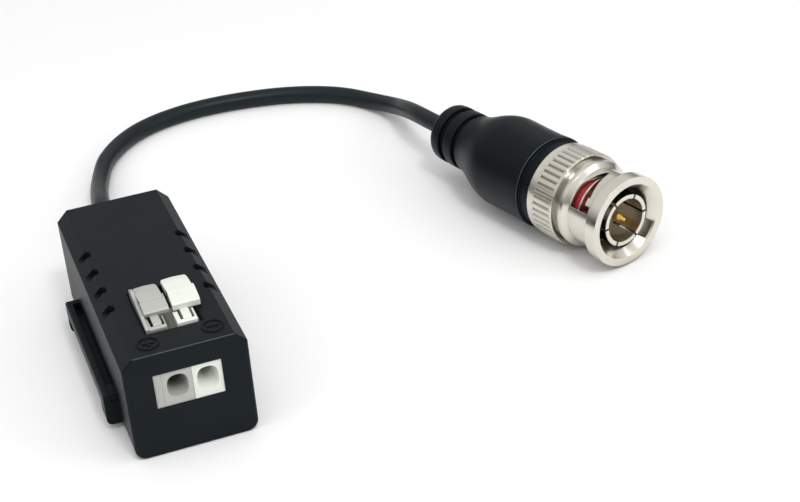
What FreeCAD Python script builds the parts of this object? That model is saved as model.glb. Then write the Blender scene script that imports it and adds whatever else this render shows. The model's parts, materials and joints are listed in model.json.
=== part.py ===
import FreeCAD, Part

import math
import os

from FreeCAD import Placement, Rotation, Vector

# A passive video balun: a small box with two lever clamps for a twisted pair, a short
# coaxial lead and a bayonet plug. All sizes are in millimetres. X runs across the
# terminal face, Y from the terminal face to the cable, Z up from the box's underside.

# Housing
housing_width = 17.0
housing_height = 16.0
housing_length = 43.5
wall = 1.2
top_chamfer = 1.65
bottom_round = 1.6
end_chamfer = 0.25
inner_chamfer = 0.6
parting_height = 7.4
shell_gap = 0.05

# Openings of the cover
window_clearance = 0.1
saddle_clearance = 0.3
plate_clearance = 0.2
lever_side_clearance = 0.12
lever_front_clearance = 0.25
lever_back_clearance = 0.8
saddle_side_clearance = 0.65
skirt_thickness = 0.6
vent_count = 4
vent_pitch = 5.2
vent_first = 13.35
vent_width = 1.75
vent_reach = 2.3
vent_depth = 1.1
vent_hole_reach = 0.9
vent_corner = 0.35

# Rail on the left wall
rail_front = 8.5
rail_length = 26.1
rail_top = 5.8
rail_height = 2.1
rail_gap = 1.0
rail_lip_thickness = 1.0
rail_shelf_thickness = 0.9
rail_leg_bottom = 0.9
rail_front_leg = 3.0
rail_back_leg = 1.0
rail_round = 0.9

# Snap hooks of the cover
snap_width = 3.0
snap_thickness = 0.7
snap_drop = 3.0
snap_barb = 0.4
snap_barb_height = 0.8
snap_places = (11.0, 33.0)
snap_clearance = 0.1

# Circuit board
board_thickness = 1.6
board_front = 1.5
board_back_room = 6.5
board_side_gap = 0.8
board_post = 2.0
board_post_inset = 2.5
lead_hole_clearance = 0.1
lead_stub = 0.9

# Terminal block
module_pitch = 4.1
end_plate_thickness = 1.1
module_gap = 0.015
plate_seam = 0.01
face_recess = 0.15
body_front_height = 12.6
body_length = 15.9
deck_drop = 0.4
flange_front = 5.2
flange_back = 8.0
flange_rise = 0.4
grey_flange_left = 1.7
grey_flange_right = 0.65
white_flange_left = 2.03
white_flange_right = 0.75
body_round = 0.25
entry_drop = 2.35
entry_mouth_width = 2.9
entry_mouth_height = 3.5
entry_facets = 20
entry_squareness = 0.75
entry_depth = 2.4
entry_bore_radius = 0.95
entry_bore_length = 1.6
chamber_depth = 1.15
chamber_roof = 0.5
chamber_side = 0.45
plate_rise = 1.5
plate_upper_thickness = 0.48
plate_web_rise = 0.4
plate_tail_slope = 1.4
plate_tail_drop = 0.5

# Levers
grey_lever_left = 1.65
grey_lever_right = 1.8
white_lever_left = 1.9
white_lever_right = 1.95
lever_reach = 15.3
grey_lever_drop = 0.35
pad_front = 8.15
pad_bottom = 0.4
pad_crest = 2.05
pad_tail_height = 1.7
pad_tail_slope = 0.9
pad_step = 10.5
pad_step_drop = 0.3
pad_step_side = 0.12
pad_groove = 0.16
pad_corner = 0.4
nose_round = 0.95
stem_offset = 0.45
stem_width = 1.5
stem_clearance = 0.2
stem_top = 0.95
pivot_back = 6.6
pivot_drop = 1.9
pivot_radius = 0.6
pivot_clearance = 0.06
trunnion_length = 2.2
foot_length = 2.4
foot_room = 0.6
foot_rise = 0.45
foot_clearance = 0.1

# Clamp springs and contacts
spring_width = 2.4
spring_thickness = 0.3
spring_bend = 0.75
spring_back_room = 0.6
spring_mouth_room = 1.2
spring_lip = 3.0
spring_lip_drop = 0.35
spring_seat_gap = 0.02
spring_roof_gap = 0.15
contact_width = 2.2
contact_thickness = 0.5
contact_front_room = 0.3
contact_back_room = 0.8
leg_width = 0.8
leg_thickness = 0.5
leg_clearance = 0.1
front_leg_place = 5.6
back_leg_place = 13.2
spring_start = 9.6

# Parts on the board
core_outer_radius = 5.0
core_inner_radius = 2.4
core_height = 4.4
core_lift = 0.5
core_place = 23.5
turn_wire = 0.42
turn_gap = 0.02
turns_each = 7
arrester_radius = 2.0
arrester_length = 4.6
arrester_place = 31.5
capacitor_radius = 2.0
capacitor_thickness = 1.6
capacitor_place = 17.4
capacitor_edge = 2.5
capacitor_lead_spread = 2.4
arrester_lead_reach = 0.8
lead_width = 0.5
resistor_length = 2.0
resistor_width = 1.25
resistor_height = 0.5
resistor_edge = 1.5
resistor_places = (18.2, 31.5)

# Cable and grommet
cable_radius = 1.5
cable_sides = 8
bend_share = 0.45
grommet_neck = 2.6
grommet_flange = 3.5
grommet_flange_thickness = 0.8
grommet_nose = 3.2
grommet_clearance = 0.04
tail_inside = 3.2
tail_wire_width = 0.5
tail_wire_length = 3.6
tail_wire_spread = 0.8

# Plug, measured from its mouth backwards along its axis
plug_mouth = (71.66, -6.7)
plug_yaw = 17.35
rim_radius = 7.2
rim_width = 2.0
lip_radius = 6.0
lip_depth = 1.2
bore_radius = 4.95
neck_radius = 6.2
neck_back = 6.8
bead_front = 7.5
bead_back = 8.2
bead_radius = 6.95
groove_radius = 6.65
groove_back = 9.1
knurl_front = 9.7
knurl_back = 13.2
knurl_radius = 7.45
knurl_count = 44
knurl_depth = 0.22
knurl_share = 0.36
collar_length = 14.6
cavity_front = 4.7
cavity_radius = 5.65
rear_wall_front = 12.7
rear_wall_back = 14.0
counterbore_radius = 5.7
key_groove_radius = 5.8
key_groove_width = 2.9
key_groove_depth = 4.2
key_groove_angle = 143.5
window_back = 6.6
cam_entry_front = 2.95
cam_step_front = 3.95
cam_ramp_front = 3.6
cam_ramp_back = 5.2
cam_tail_front = 4.75
cam_angles = (158.0, 147.0, 135.0, 125.0, 83.0)
cam_overlap = 0.5
sleeve_radius = 4.15
sleeve_bore = 3.5
sleeve_front = 0.6
sleeve_slots = 6
sleeve_slot_width = 0.35
sleeve_slot_depth = 5.0
sleeve_slot_turn = 2.0
body_flange_front = 8.0
body_flange_back = 9.2
shank_radius = 4.4
shank_back = 16.2
ferrule_back = 25.0
ferrule_radius = 2.7
ferrule_wall = 0.5
barrel_bore = 1.3
running_gap = 0.12
insulator_front = 6.6
insulator_back = 15.2
pin_radius = 0.675
pin_tip = 0.9
pin_point = 1.1
pin_tip_radius = 0.18
pin_shoulder_radius = 1.0
pin_shoulder_depth = 2.0
inner_conductor_radius = 0.35
clip_thickness = 0.4
clip_radius = 5.2
clip_opening = 1.6
washer_thickness = 0.4
wave_thickness = 0.35
wave_count = 3
wave_steps = 24
collar_travel = 0.8
gasket_front = 5.35
gasket_clearance = 0.15
gasket_step = 0.22
gasket_ring_back = 5.62
seat_gap = 0.02

# Boot
boot_radius = 7.6
boot_step_radius = 7.0
boot_step_front = 14.8
boot_barrel_front = 17.0
boot_barrel_back = 27.8
boot_tail_front = 34.0
boot_tail_radius = 5.1
boot_back = 42.0
boot_ring_depth = 0.7
boot_ring_width = 0.85
boot_ring_places = (35.3, 38.6)
boot_end_front = 40.9
boot_end_radius = 4.1
boot_fit = 0.05

front_face = -housing_length / 2
back_face = housing_length / 2
board_top = parting_height
board_length = housing_length - board_front - board_back_room
deck_height = body_front_height - deck_drop
entry_height = body_front_height - entry_drop
chamber_bottom = entry_height - chamber_depth
chamber_top = deck_height - chamber_roof
exit_height = parting_height
inner_half_width = housing_width / 2 - wall
board_half_width = inner_half_width - board_side_gap
window_width = end_plate_thickness + 2 * module_pitch
grey_x = -window_width / 2 + end_plate_thickness + module_pitch / 2
white_x = grey_x + module_pitch
plug_height = boot_radius
plug_centre = Vector(plug_mouth[0], plug_mouth[1], plug_height)
grommet_end = back_face + grommet_nose
body_flange_radius = cavity_radius - running_gap


def from_front(distance):
    """Y of a place given by its distance behind the terminal face."""
    return front_face + distance


def box(x0, x1, y0, y1, z0, z1):
    return Part.makeBox(x1 - x0, y1 - y0, z1 - z0, Vector(x0, y0, z0))


def prism(outline, x0, x1):
    """Solid of an outline of (y, z) points, from x0 to x1."""
    points = [Vector(x0, y, z) for y, z in outline]
    face = Part.Face(Part.makePolygon(points + points[:1]))
    return face.extrude(Vector(x1 - x0, 0, 0))


def along(outline, y0, y1):
    """Solid of an outline of (x, z) points, from y0 to y1."""
    points = [Vector(x, y0, z) for x, z in outline]
    face = Part.Face(Part.makePolygon(points + points[:1]))
    return face.extrude(Vector(0, y1 - y0, 0))


def turned(profile):
    """Solid of revolution about Z from (radius, distance behind the mouth) points."""
    points = [Vector(radius, 0, -place) for radius, place in profile]
    face = Part.Face(Part.makePolygon(points + points[:1]))
    return face.revolve(Vector(0, 0, 0), Vector(0, 0, 1), 360)


def tube(outer, inner, front, back):
    return turned([(inner, front), (outer, front), (outer, back), (inner, back)])


def rod(radius, front, back):
    return turned([(0, front), (radius, front), (radius, back), (0, back)])


def rounded(shape, radius, chosen):
    """Round the edges whose middle point passes the test."""
    edges = [edge for edge in shape.Edges if chosen(edge)]
    return shape.makeFillet(radius, edges)


def chamfered(shape, size, chosen):
    """Cut off the edges whose middle point passes the test."""
    return shape.makeChamfer(size, [edge for edge in shape.Edges if chosen(edge)])


def middle(edge):
    return edge.valueAt((edge.FirstParameter + edge.LastParameter) / 2)


def seat_on_plug(shape):
    """Move a piece from the plug's own axis to where the plug lies."""
    turn = Rotation(Vector(0, 0, 1), plug_yaw) * Rotation(Vector(1, 0, 0), 90)
    seated = shape.copy()
    seated.Placement = Placement(plug_centre, turn)
    return seated


def write(name, shape):
    shape.exportStep("parts/" + name + ".step")


def housing_outline(half, low, high, cut):
    """Cross-section of the box or of its hollow, with its upper corners cut off."""
    return [
        (-half, low), (half, low), (half, high - cut), (half - cut, high), (-half + cut, high),
        (-half, high - cut),
    ]


def bottom_edge(edge):
    point = middle(edge)
    return point.z < 0.01 and abs(point.x) > housing_width / 2 - 0.01


def end_edge(edge):
    return abs(middle(edge).y) > housing_length / 2 - 0.01


def housing_block():
    outline = housing_outline(housing_width / 2, 0, housing_height, top_chamfer)
    shape = rounded(along(outline, front_face, back_face), bottom_round, bottom_edge)
    return chamfered(shape, end_chamfer, end_edge)


def housing_hollow():
    outline = housing_outline(inner_half_width, wall, housing_height - wall, inner_chamfer)
    return along(outline, front_face + wall, back_face - wall)


def grommet_hole():
    radius = grommet_neck + grommet_clearance
    return Part.makeCylinder(radius, 3 * wall, Vector(0, back_face - 2 * wall, exit_height), Vector(0, 1, 0))


def snap_hook(place, side):
    """Tongue that hangs from the cover's wall, with a barb that catches in the base."""
    x_out = inner_half_width - snap_clearance
    y = from_front(place)
    low = parting_height - snap_drop
    outline = [
        (x_out - snap_thickness, low), (x_out, low), (x_out + snap_barb, low + snap_barb_height / 2),
        (x_out + snap_barb, low + snap_barb_height), (x_out, low + snap_barb_height),
        (x_out, parting_height + shell_gap), (inner_half_width + wall / 2, parting_height + shell_gap),
        (inner_half_width + wall / 2, parting_height + wall), (x_out - snap_thickness, parting_height + wall),
    ]
    shape = along(outline, y - snap_width / 2, y + snap_width / 2)
    return shape if side > 0 else shape.mirror(Vector(0, 0, 0), Vector(1, 0, 0))


def snap_pocket(place, side):
    x_in = inner_half_width - snap_clearance
    y = from_front(place)
    low = parting_height - snap_drop - snap_clearance
    shape = box(
        x_in, x_in + snap_barb + 2 * snap_clearance, y - snap_width / 2 - snap_clearance,
        y + snap_width / 2 + snap_clearance, low, low + snap_barb_height + 3 * snap_clearance)
    return shape if side > 0 else shape.mirror(Vector(0, 0, 0), Vector(1, 0, 0))


def vent(index, side):
    """Cooling slot: a recess across the cut-off edge, its inner end open to the inside."""
    y = from_front(vent_first + index * vent_pitch)
    half = housing_width / 2
    inner_end = half - vent_reach
    y0 = y - vent_width / 2
    y1 = y + vent_width / 2
    recess = box(inner_end, half + wall, y0, y1, housing_height - vent_depth, housing_height + wall)
    hole = box(inner_end, inner_end + vent_hole_reach, y0, y1, housing_height - 2 * wall, housing_height + wall)
    shape = recess.fuse(hole).removeSplitter()

    def inner_corner(edge):
        upright = abs(edge.tangentAt(edge.FirstParameter).z) > 0.9
        return upright and middle(edge).x < inner_end + 0.01
    shape = chamfered(shape, vent_corner, inner_corner)
    return shape if side > 0 else shape.mirror(Vector(0, 0, 0), Vector(1, 0, 0))


def cheek_side():
    """X of the end plate's upper face that the grey saddle stands against."""
    return grey_x - grey_flange_left - module_gap


def lever_openings():
    """(x0, x1, y0, y1) of the opening round the saddles and of the wider one under the pads."""
    x0 = cheek_side() - plate_upper_thickness - plate_clearance
    y_pads = from_front(pad_front - lever_front_clearance)
    saddle_side = white_x + white_flange_right + saddle_side_clearance
    pad_side = white_x + white_lever_right + lever_side_clearance
    saddles = (x0, saddle_side, from_front(flange_front - saddle_clearance), y_pads)
    pads = (x0, pad_side, y_pads, from_front(lever_reach + lever_back_clearance))
    return saddles, pads


def opening_skirts():
    """Walls that hang from the cover beside the white lever and hide the board."""
    low = body_front_height + window_clearance
    high = housing_height - wall / 2
    return [box(x1, x1 + skirt_thickness, y0, y1, low, high) for x0, x1, y0, y1 in lever_openings()]


def make_cover():
    low = parting_height + shell_gap / 2
    far = housing_width + housing_length
    shape = housing_block().common(box(-far, far, -far, far, low, far))
    window_top = body_front_height + window_clearance
    window = box(
        -window_width / 2, window_width / 2, front_face - wall, front_face + 2 * wall, 0, window_top)
    cuts = [housing_hollow(), window, grommet_hole()]
    cuts += [box(*room, housing_height - 2 * wall, housing_height + wall) for room in lever_openings()]
    cuts += [vent(index, side) for index in range(vent_count) for side in (-1, 1)]
    shape = shape.cut(Part.makeCompound(cuts))
    hooks = [snap_hook(place, side) for place in snap_places for side in (-1, 1)]
    return shape.fuse(hooks + opening_skirts()).removeSplitter()


def side_rail():
    """Rail on the left wall: a shelf with an upstanding lip, on a leg at each end."""
    wall_x = -housing_width / 2
    root = wall_x + wall / 2
    lip_in = wall_x - rail_gap
    lip_out = lip_in - rail_lip_thickness
    rail_bottom = rail_top - rail_height
    shelf_top = rail_bottom + rail_shelf_thickness
    y0 = from_front(rail_front)
    y1 = y0 + rail_length
    rail = along(
        [(root, rail_bottom), (lip_out, rail_bottom), (lip_out, rail_top), (lip_in, rail_top),
         (lip_in, shelf_top), (root, shelf_top)], y0, y1)
    legs = [
        box(lip_out, root, y0, y0 + rail_front_leg, rail_leg_bottom, shelf_top),
        box(lip_out, root, y1 - rail_back_leg, y1, rail_leg_bottom, rail_top),
    ]
    shape = rail.fuse(legs).removeSplitter()

    def leg_corner(edge):
        point = middle(edge)
        return abs(point.x - lip_out) < 0.01 and abs(point.z - rail_leg_bottom) < 0.01

    def lip_edge(edge):
        point = middle(edge)
        at_end = abs(point.y - y0) < 0.01 or abs(point.y - y1) < 0.01
        on_top = abs(point.z - rail_top) < 0.01
        return point.x < lip_in + 0.01 and on_top and (at_end or abs(point.x - lip_out) < 0.01)
    shape = rounded(shape, rail_round, leg_corner)
    return rounded(shape, rail_lip_thickness / 3, lip_edge)


def board_posts():
    half = board_post / 2
    x = board_half_width - half
    posts = []
    for place in (board_front + board_post_inset, board_front + board_length - board_post_inset):
        y = from_front(place)
        for side in (-1, 1):
            posts.append(box(
                side * x - half, side * x + half, y - half, y + half, wall / 2, board_top - board_thickness))
    return posts


def make_base():
    high = parting_height - shell_gap / 2
    far = housing_width + housing_length
    shape = housing_block().common(box(-far, far, -far, far, -far, high))
    shape = shape.fuse(side_rail())
    cuts = [housing_hollow(), grommet_hole()]
    cuts += [snap_pocket(place, side) for place in snap_places for side in (-1, 1)]
    shape = shape.cut(Part.makeCompound(cuts))
    return shape.fuse(board_posts()).removeSplitter()


def oval(x, y, half_width, half_height, power):
    """Many-sided outline of a wire entry at one depth, squarer than an ellipse when power is under 1."""
    points = []
    for index in range(entry_facets):
        angle = 2 * math.pi * index / entry_facets
        across = math.copysign(abs(math.cos(angle)) ** power, math.cos(angle))
        upward = math.copysign(abs(math.sin(angle)) ** power, math.sin(angle))
        points.append(Vector(x + half_width * across, y, entry_height + half_height * upward))
    return Part.makePolygon(points + points[:1])


def funnel(x):
    """Wire entry: an oval mouth that narrows to a round bore, then the spring chamber."""
    y0 = from_front(face_recess)
    y1 = y0 + entry_depth
    radius = entry_bore_radius
    throat = radius / math.cos(math.pi / entry_facets)
    cone = Part.makeLoft(
        [oval(x, y0, entry_mouth_width / 2, entry_mouth_height / 2, entry_squareness),
         oval(x, y1, throat, throat, 1.0)], True, True)
    bore = Part.makeCylinder(radius, entry_bore_length + wall, Vector(x, y1, entry_height), Vector(0, 1, 0))
    return [cone, bore]


def chamber_front():
    return from_front(face_recess + entry_depth + entry_bore_length)


def make_terminal_body(x, flange_left, flange_right):
    """Moulded body of one clamp: wire entry in front, spring chamber, lever saddle on top."""
    half = module_pitch / 2 - module_gap
    y0 = from_front(face_recess)
    y_flange = from_front(flange_front)
    y_back = from_front(flange_back)
    y_end = from_front(body_length)
    top = housing_height + flange_rise
    outline = [
        (y0, board_top), (y_end, board_top), (y_end, deck_height), (y_back, deck_height),
        (y_back, body_front_height), (y0, body_front_height),
    ]
    shape = prism(outline, x - half, x + half)
    saddle = box(x - flange_left, x + flange_right, y_flange, y_back, body_front_height, top)
    saddle = rounded(
        saddle, body_round, lambda edge: middle(edge).z > top - 0.01 and middle(edge).y < y_flange + 0.01)
    shape = shape.fuse(saddle).removeSplitter()
    chamber = box(
        x - half + chamber_side, x + half - chamber_side, chamber_front(), y_end + wall,
        chamber_bottom, chamber_top)
    stem_x = x - stem_offset
    slot_half = stem_width / 2 + stem_clearance
    slot = box(
        stem_x - slot_half, stem_x + slot_half, from_front(pivot_back) - pivot_radius - stem_clearance,
        from_front(pad_front + foot_length + foot_room), chamber_top - wall, top + wall)
    trunnion_half = trunnion_length / 2 + pivot_clearance
    radius = pivot_radius + pivot_clearance
    pivot = Vector(stem_x - trunnion_half, from_front(pivot_back), housing_height - pivot_drop)
    seat = Part.makeCylinder(radius, 2 * trunnion_half, pivot, Vector(1, 0, 0))
    seat_way = box(
        pivot.x, pivot.x + 2 * trunnion_half, pivot.y, y_back + wall, pivot.z - radius * 0.8,
        pivot.z + radius * 0.8)
    legs = [leg_room(x, y, board_top - wall, chamber_bottom + wall) for y in leg_places()]
    cuts = [chamber, slot, seat, seat_way] + funnel(x) + legs
    return shape.cut(Part.makeCompound(cuts))


def leg_places():
    return from_front(front_leg_place), from_front(back_leg_place)


def leg_room(x, y, low, high):
    """Hole that a contact's leg passes through with its clearance."""
    half_width = leg_width / 2 + leg_clearance
    half_depth = leg_thickness / 2 + leg_clearance
    return box(x - half_width, x + half_width, y - half_depth, y + half_depth, low, high)


def make_end_plate():
    """Cheek that closes the open side of the grey clamp and stands up beside its lever."""
    outer = grey_x - module_pitch / 2 - end_plate_thickness + module_gap
    seam = grey_x - module_pitch / 2 + module_gap - plate_seam
    y_up = from_front(flange_front)
    y_end = from_front(body_length)
    y_tail = from_front(lever_reach)
    web_top = body_front_height + plate_web_rise
    top = housing_height + plate_rise
    low = box(outer, seam, from_front(face_recess), y_end, board_top, body_front_height)
    web = box(outer, cheek_side(), y_up, y_end, body_front_height + plate_seam, web_top)
    root = box(outer, seam, y_up, y_end, body_front_height - wall, web_top)
    outline = [
        (y_up, body_front_height + plate_seam), (y_up, housing_height + flange_rise),
        (y_tail - plate_tail_slope, top), (y_tail, top - plate_tail_drop),
        (y_tail, body_front_height + plate_seam),
    ]
    upper = prism(outline, cheek_side() - plate_upper_thickness, cheek_side())
    return low.fuse([web, root, upper]).removeSplitter()


def make_lever(x, left, right, drop):
    """Clamp lever: a stepped press pad behind a narrow stem on two trunnions."""
    z0 = housing_height - drop
    x0 = x - left
    x1 = x + right
    y_front = from_front(pad_front)
    y_step = from_front(pad_step)
    y_end = from_front(lever_reach)
    low = z0 + pad_bottom
    crest = z0 + pad_crest
    behind_step = crest - pad_step_drop
    front_pad = prism([(y_front, low), (y_step, low), (y_step, crest), (y_front, crest)], x0, x1)
    front_pad = rounded(
        front_pad, nose_round, lambda edge: middle(edge).y < y_front + 0.01 and middle(edge).z > crest - 0.01)
    rear_pad = prism(
        [(y_step - pad_corner, low), (y_end, low), (y_end, z0 + pad_tail_height - body_round),
         (y_end - pad_tail_slope, z0 + pad_tail_height), (y_step + pad_groove, behind_step),
         (y_step + pad_groove, behind_step - pad_groove), (y_step - pad_corner, behind_step - pad_groove)],
        x0, x1 - pad_step_side)

    def rear_left_corner(edge):
        point = middle(edge)
        return abs(point.x - x0) < 0.01 and abs(point.y - y_end) < 0.01 and edge.Length > 1
    rear_pad = rounded(rear_pad, pad_corner, rear_left_corner)
    stem_x = x - stem_offset
    foot_y = y_front + foot_length
    pivot = Vector(stem_x - trunnion_length / 2, from_front(pivot_back), housing_height - pivot_drop)
    stem = prism(
        [(pivot.y - pivot_radius, pivot.z), (pivot.y - pivot_radius, z0 + stem_top - pivot_radius),
         (pivot.y, z0 + stem_top), (y_front + pivot_radius, z0 + stem_top), (foot_y, low),
         (foot_y, chamber_top + foot_rise), (foot_y - pad_tail_slope, chamber_top + foot_clearance),
         (pivot.y, pivot.z - pivot_radius)],
        stem_x - stem_width / 2, stem_x + stem_width / 2)
    trunnion = Part.makeCylinder(pivot_radius, trunnion_length, pivot, Vector(1, 0, 0))
    return front_pad.fuse([rear_pad, stem, trunnion]).removeSplitter()


def strip(path, width, x):
    """Bent strip of the spring's thickness along (y, z) points."""
    points = [Vector(x - width / 2, y, z) for y, z in path]
    wire = Part.makePolygon(points)
    offset = wire.makeOffset2D(spring_thickness / 2, 2, False, False, False)
    return Part.Face(offset).extrude(Vector(width, 0, 0))


def make_clamp_spring(x):
    """Leaf spring: it lies on the contact, bends back over itself and presses on the wire."""
    low = chamber_bottom + contact_thickness + spring_thickness / 2 + spring_seat_gap
    high = chamber_top - spring_thickness / 2 - spring_roof_gap
    y_end = from_front(body_length - spring_back_room)
    y_mouth = chamber_front() + spring_mouth_room
    path = [
        (from_front(spring_start), low), (y_end - spring_bend, low), (y_end, low + spring_bend),
        (y_end, high - spring_bend), (y_end - spring_bend, high), (y_mouth + spring_lip, high),
        (y_mouth, entry_height - spring_lip_drop),
    ]
    return strip(path, spring_width, x)


def make_contact(x):
    """Tinned contact bar on the chamber's floor, with two legs through the board."""
    y0 = chamber_front() + contact_front_room
    y1 = from_front(body_length - contact_back_room)
    bar = box(
        x - contact_width / 2, x + contact_width / 2, y0, y1, chamber_bottom,
        chamber_bottom + contact_thickness)
    legs = [
        box(x - leg_width / 2, x + leg_width / 2, y - leg_thickness / 2, y + leg_thickness / 2,
            board_top - board_thickness - lead_stub, chamber_bottom + contact_thickness / 2)
        for y in leg_places()]
    return bar.fuse(legs).removeSplitter()


def capacitor_x():
    return -board_half_width + capacitor_edge


def capacitor_leads():
    y = from_front(capacitor_place)
    half = capacitor_lead_spread / 2
    return [(capacitor_x() - half, y), (capacitor_x() + half, y)]


def arrester_leads():
    y = from_front(arrester_place)
    reach = arrester_length / 2 + arrester_lead_reach
    return [(-reach, y), (reach, y)]


def square_post(x, y, width, low, high):
    half = width / 2
    return box(x - half, x + half, y - half, y + half, low, high)


def make_board():
    half = board_half_width
    y0 = from_front(board_front)
    shape = box(-half, half, y0, y0 + board_length, board_top - board_thickness, board_top)
    low = board_top - 2 * board_thickness
    high = board_top + board_thickness
    holes = [leg_room(x, y, low, high) for x in (grey_x, white_x) for y in leg_places()]
    holes += [
        square_post(x, y, lead_width + 2 * lead_hole_clearance, low, high)
        for x, y in capacitor_leads() + arrester_leads()]
    return shape.cut(Part.makeCompound(holes))


def make_core():
    low = board_top + core_lift
    centre = Vector(0, from_front(core_place), low)
    ring = Part.makeCylinder(core_outer_radius, core_height, centre)
    return ring.cut(Part.makeCylinder(core_inner_radius, core_height, centre))


def make_winding(first):
    """One winding of the pair: separate square turns round the ring, closed below the core."""
    low = board_top + core_lift
    turns = []
    for index in range(turns_each):
        angle = 360.0 * (2 * index + first) / (2 * turns_each)
        outer = box(
            core_inner_radius - turn_gap - turn_wire, core_outer_radius + turn_gap + turn_wire, -turn_wire / 2,
            turn_wire / 2, low - turn_gap - turn_wire, low + core_height + turn_gap + turn_wire)
        inner = box(
            core_inner_radius - turn_gap, core_outer_radius + turn_gap, -turn_wire, turn_wire, low - turn_gap,
            low + core_height + turn_gap)
        turn = outer.cut(inner)
        turn.rotate(Vector(0, 0, 0), Vector(0, 0, 1), angle)
        turn.translate(Vector(0, from_front(core_place), 0))
        turns.append(turn)
    return Part.makeCompound(turns)


def make_lead(x, y, top):
    return square_post(x, y, lead_width, board_top - board_thickness - lead_stub, top)


def make_arrester():
    """Gas discharge tube across the pair, lying on the board with a lead at each end."""
    y = from_front(arrester_place)
    z = board_top + arrester_radius
    length = arrester_length
    shape = Part.makeCylinder(arrester_radius, length, Vector(-length / 2, y, z), Vector(1, 0, 0))
    reach = length / 2 + arrester_lead_reach
    half = lead_width / 2
    arm = box(-reach - half, reach + half, y - half, y + half, z - half, z + half)
    leads = [make_lead(x, y_lead, z) for x, y_lead in arrester_leads()]
    return shape.fuse([arm] + leads).removeSplitter()


def make_capacitor():
    y = from_front(capacitor_place)
    z = board_top + capacitor_radius + lead_width / 2
    start = Vector(capacitor_x(), y - capacitor_thickness / 2, z)
    shape = Part.makeCylinder(capacitor_radius, capacitor_thickness, start, Vector(0, 1, 0))
    leads = [make_lead(x, y_lead, z) for x, y_lead in capacitor_leads()]
    return shape.fuse(leads).removeSplitter()


def make_resistors():
    x = board_half_width - resistor_edge
    half_width = resistor_width / 2
    half_length = resistor_length / 2
    chips = []
    for place in resistor_places:
        y = from_front(place)
        chips.append(box(
            x - half_width, x + half_width, y - half_length, y + half_length, board_top,
            board_top + resistor_height))
    return Part.makeCompound(chips)


def round_about_cable(profile):
    """Solid of revolution about the cable's exit line from (radius, y) points."""
    points = [Vector(radius, y, 0) for radius, y in profile]
    face = Part.Face(Part.makePolygon(points + points[:1]))
    shape = face.revolve(Vector(0, 0, 0), Vector(0, 1, 0), 360)
    shape.translate(Vector(0, 0, exit_height))
    return shape


def make_grommet():
    """Strain relief clamped in the back wall between the two shells."""
    inner = cable_radius + grommet_clearance
    inside = back_face - wall
    flange_front = inside - grommet_flange_thickness
    flange_back = inside - grommet_clearance
    return round_about_cable([
        (inner, flange_front), (grommet_flange, flange_front), (grommet_flange, flange_back),
        (grommet_neck, flange_back), (grommet_neck, grommet_end), (inner, grommet_end),
    ])


def make_cable_tail():
    """Cable end inside the box, with its core and its screen led on to the board."""
    start = back_face - wall - tail_inside
    jacket = Part.makeCylinder(
        cable_radius, grommet_end - start, Vector(0, start, exit_height), Vector(0, 1, 0))
    half = tail_wire_width / 2
    low = board_top + seat_gap
    wires = [
        box(x - half, x + half, start - tail_wire_length, start + half, low, low + tail_wire_width)
        for x in (-tail_wire_spread, tail_wire_spread)]
    return jacket.fuse(wires).removeSplitter()


# Points of the cable's line from the grommet to the boot, laid on the surface between them.
cable_route = [
    (0.0, grommet_end, exit_height),
    (0.0, 34.2, exit_height),
    (1.3, 45.2, 4.5),
    (3.2, 55.0, 2.1),
    (6.1, 64.1, cable_radius),
    (13.2, 71.7, cable_radius),
    (22.8, 74.9, cable_radius),
    (32.8, 74.8, cable_radius),
    (42.8, 72.5, cable_radius),
    (50.8, 68.0, cable_radius),
    (55.3, 62.2, cable_radius),
    (57.5, 55.3, 3.0),
    (57.0, 46.9, 6.0),
    (57.1, 40.0, plug_height),
]


def plug_point(place):
    """Point on the plug's axis at a distance behind its mouth."""
    yaw = math.radians(plug_yaw)
    return plug_centre - Vector(math.sin(yaw), -math.cos(yaw), 0) * place


def cable_path():
    """Straight runs joined by tangent arcs, with the radius of each arc."""
    points = [Vector(*point) for point in cable_route] + [plug_point(boot_back)]
    edges = []
    radii = []
    start = points[0]
    for before, corner, after in zip(points, points[1:], points[2:]):
        into = (corner - before).normalize()
        out = (after - corner).normalize()
        run = min(corner.distanceToPoint(before), corner.distanceToPoint(after))
        reach = bend_share * run
        half_turn = into.getAngle(out) / 2
        radius = reach / math.tan(half_turn)
        first = corner - into * reach
        last = corner + out * reach
        inward = (out - into).normalize()
        centre_distance = radius / math.cos(half_turn)
        top = corner + inward * (centre_distance - radius)
        edges.append(Part.LineSegment(start, first).toShape())
        edges.append(Part.Arc(first, top, last).toShape())
        radii.append(round(radius, 1))
        start = last
    edges.append(Part.LineSegment(start, points[-1]).toShape())
    return Part.Wire(edges), radii


def cable_section(centre):
    """Many-sided outline with the area of the round cable, square to its start along Y."""
    turn = 2 * math.pi / cable_sides
    radius = cable_radius * math.sqrt(turn / math.sin(turn))
    points = []
    for index in range(cable_sides):
        angle = turn * (index + 0.5)
        points.append(centre + Vector(radius * math.cos(angle), 0, radius * math.sin(angle)))
    return Part.makePolygon(points + points[:1])


def make_cable():
    path, radii = cable_path()
    shape = path.makePipeShell([cable_section(Vector(*cable_route[0]))], True, False)
    share = shape.Volume / (math.pi * cable_radius ** 2 * path.Length)
    print("cable length", round(path.Length, 1), "radii", radii, "volume share", round(share, 4))
    return shape


def slot_wedge(first, last, start, end):
    """Sector cut through the collar's neck: (front, back) at the first angle and at the last."""
    inner = bore_radius - cam_overlap
    outer = neck_radius + cam_overlap
    steps = max(1, round(abs(first - last) / 14))
    sections = []
    for step in range(steps + 1):
        share = step / steps
        angle = math.radians(first + (last - first) * share)
        front = start[0] + (end[0] - start[0]) * share
        back = start[1] + (end[1] - start[1]) * share
        corners = []
        for radius, place in ((inner, front), (outer, front), (outer, back), (inner, back)):
            corners.append(Vector(radius * math.cos(angle), radius * math.sin(angle), -place))
        sections.append(Part.makePolygon(corners + corners[:1]))
    return Part.makeLoft(sections, True, True)


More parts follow.
